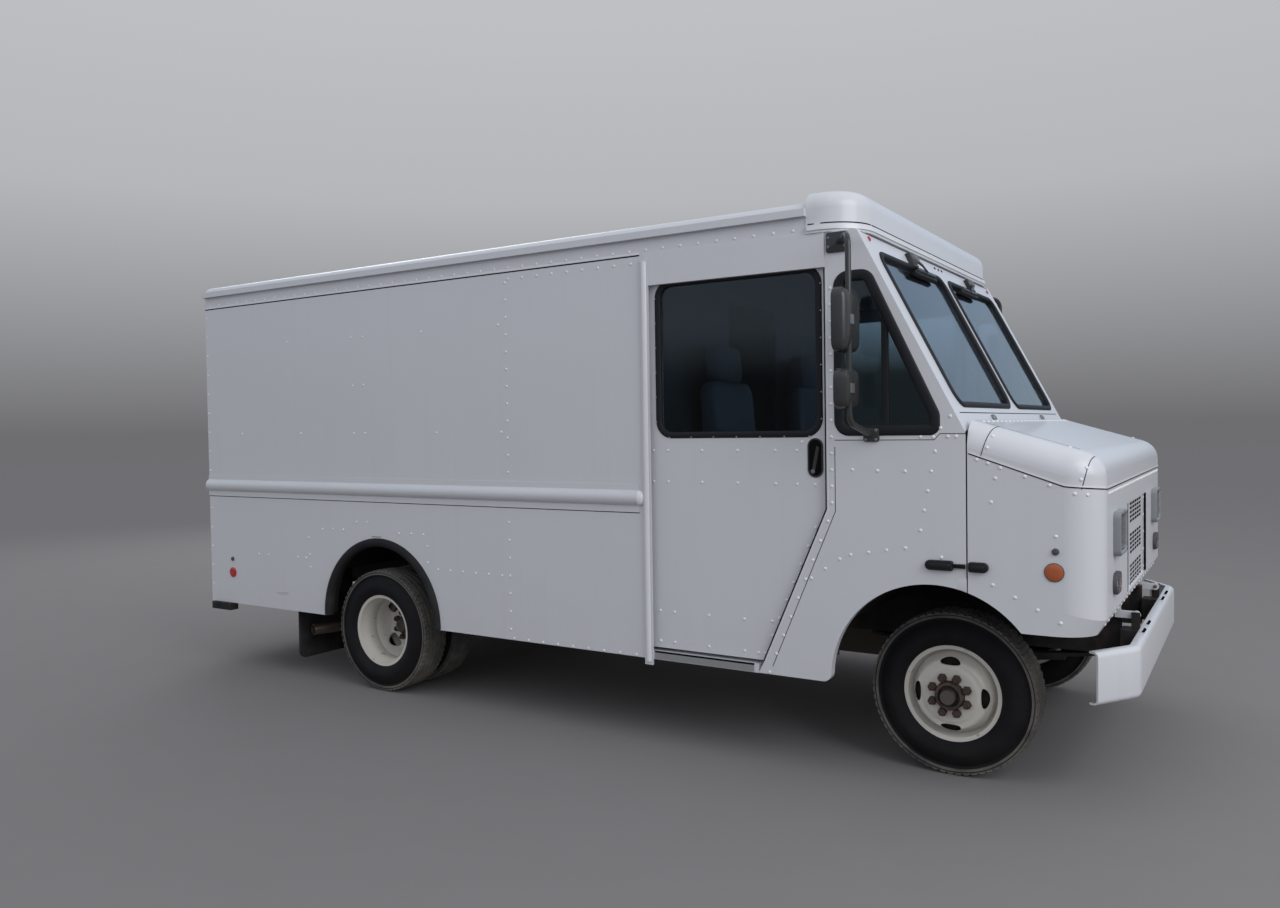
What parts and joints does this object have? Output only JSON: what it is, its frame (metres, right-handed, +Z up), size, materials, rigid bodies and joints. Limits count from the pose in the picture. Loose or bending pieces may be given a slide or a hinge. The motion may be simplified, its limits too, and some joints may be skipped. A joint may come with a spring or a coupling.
{
  "type": "step van",
  "caption": "Walk-in delivery van with a tall box body, sliding cab doors, tilting nose, rear doors and dual rear wheels.",
  "frame": {"origin": "on the ground, at the middle of the van's length and width over the mirrors", "axes": "+X forward, +Y to the left side, +Z up"},
  "size_m": [5.9, 2.99, 2.6449],
  "materials": {
    "white_paint": "semi-gloss white paint, aged",
    "chassis_paint": "satin black, dusty",
    "cast_steel": "rough, rusty",
    "wheel_paint": "white paint, rusty at the nuts",
    "tyre_rubber": "worn",
    "black_rubber": "matt",
    "clear_glass": "clear",
    "lamp_plastic": "clear and amber lenses",
    "radiator_metal": "dark, dusty",
    "exhaust_steel": "rusty",
    "dark_plastic": "moulded grain",
    "seat_cover": "woven",
    "bare_aluminium": "worn",
    "mirror_black": "gloss black"
  },
  "bodies": {
    "body": {"frame_rails": "chassis_paint", "front_axle": "cast_steel", "rear_axle": "cast_steel", "leaf_springs": "chassis_paint", "engine_block": "cast_steel", "radiator": "radiator_metal", "fuel_tank": "chassis_paint", "exhaust": "exhaust_steel", "side_walls": "white_paint", "roof_panel": "white_paint", "roof_cap": "white_paint", "rear_frame": "white_paint", "floor": "bare_aluminium", "wheelhouses": "bare_aluminium", "step_wells": "bare_aluminium", "engine_cover": "dark_plastic", "bulkhead": "bare_aluminium", "cab_sides": "white_paint", "windshield_frame": "white_paint", "cab_glass": "clear_glass", "door_tracks": "white_paint", "body_rails": "white_paint", "latch_anchors": "black_rubber", "front_bumper": "white_paint", "rear_bumper": "chassis_paint", "fender_rubber": "black_rubber", "dashboard": "dark_plastic", "steering_wheel": "dark_plastic", "seats": "seat_cover", "mirrors": "mirror_black", "wipers": "dark_plastic", "body_lamps": "lamp_plastic"},
    "nose": {"nose_shell": "white_paint", "grille": "white_paint", "nose_lamps": "lamp_plastic", "hood_latches": "black_rubber"},
    "right_door": {"right_door": "white_paint", "right_door_glass": "clear_glass"},
    "left_door": {"left_door": "white_paint", "left_door_glass": "clear_glass"},
    "rear_door_right": {"rear_door_right": "white_paint", "rear_glass_right": "clear_glass"},
    "rear_door_left": {"rear_door_left": "white_paint", "rear_glass_left": "clear_glass"},
    "knuckle_right": {"knuckle_right": "cast_steel"},
    "knuckle_left": {"knuckle_left": "cast_steel"},
    "front_wheel_right": {"front_tyre_right": "tyre_rubber", "front_rim_right": "wheel_paint"},
    "front_wheel_left": {"front_tyre_left": "tyre_rubber", "front_rim_left": "wheel_paint"},
    "rear_wheels_right": {"rear_tyres_right": "tyre_rubber", "rear_rims_right": "wheel_paint"},
    "rear_wheels_left": {"rear_tyres_left": "tyre_rubber", "rear_rims_left": "wheel_paint"}
  },
  "joints": [
    {"name": "nose_tilt", "type": "hinge", "parent": "body", "child": "nose", "pos_m": [2.89, 0, 0.712], "axis": [0, 1, 0], "range_deg": [0, 60]},
    {"name": "right_door_slide", "type": "slide", "parent": "body", "child": "right_door", "axis": [-1, 0, 0], "range_m": [0, 0.9]},
    {"name": "left_door_slide", "type": "slide", "parent": "body", "child": "left_door", "axis": [-1, 0, 0], "range_m": [0, 0.9]},
    {"name": "rear_door_right_swing", "type": "hinge", "parent": "body", "child": "rear_door_right", "pos_m": [-2.846, -0.727, 1.555], "axis": [0, 0, 1], "range_deg": [0, 180]},
    {"name": "rear_door_left_swing", "type": "hinge", "parent": "body", "child": "rear_door_left", "pos_m": [-2.846, 0.727, 1.555], "axis": [0, 0, -1], "range_deg": [0, 180]},
    {"name": "steer_right", "type": "hinge", "parent": "body", "child": "knuckle_right", "pos_m": [2.19, -0.72, 0.372], "axis": [0, 0, 1], "range_deg": [-32, 32]},
    {"name": "steer_left", "type": "hinge", "parent": "body", "child": "knuckle_left", "pos_m": [2.19, 0.72, 0.372], "axis": [0, 0, 1], "range_deg": [-32, 32]},
    {"name": "front_wheel_right_spin", "type": "hinge", "parent": "knuckle_right", "child": "front_wheel_right", "pos_m": [2.19, -0.828, 0.372], "axis": [0, 1, 0], "continuous": true},
    {"name": "front_wheel_left_spin", "type": "hinge", "parent": "knuckle_left", "child": "front_wheel_left", "pos_m": [2.19, 0.828, 0.372], "axis": [0, 1, 0], "continuous": true},
    {"name": "rear_wheels_right_spin", "type": "hinge", "parent": "body", "child": "rear_wheels_right", "pos_m": [-1.188, -0.96, 0.372], "axis": [0, 1, 0], "continuous": true},
    {"name": "rear_wheels_left_spin", "type": "hinge", "parent": "body", "child": "rear_wheels_left", "pos_m": [-1.188, 0.96, 0.372], "axis": [0, 1, 0], "continuous": true}
  ],
  "couplings": [
    {"joint": "steer_left", "follows": "steer_right", "ratio": 1}
  ]
}
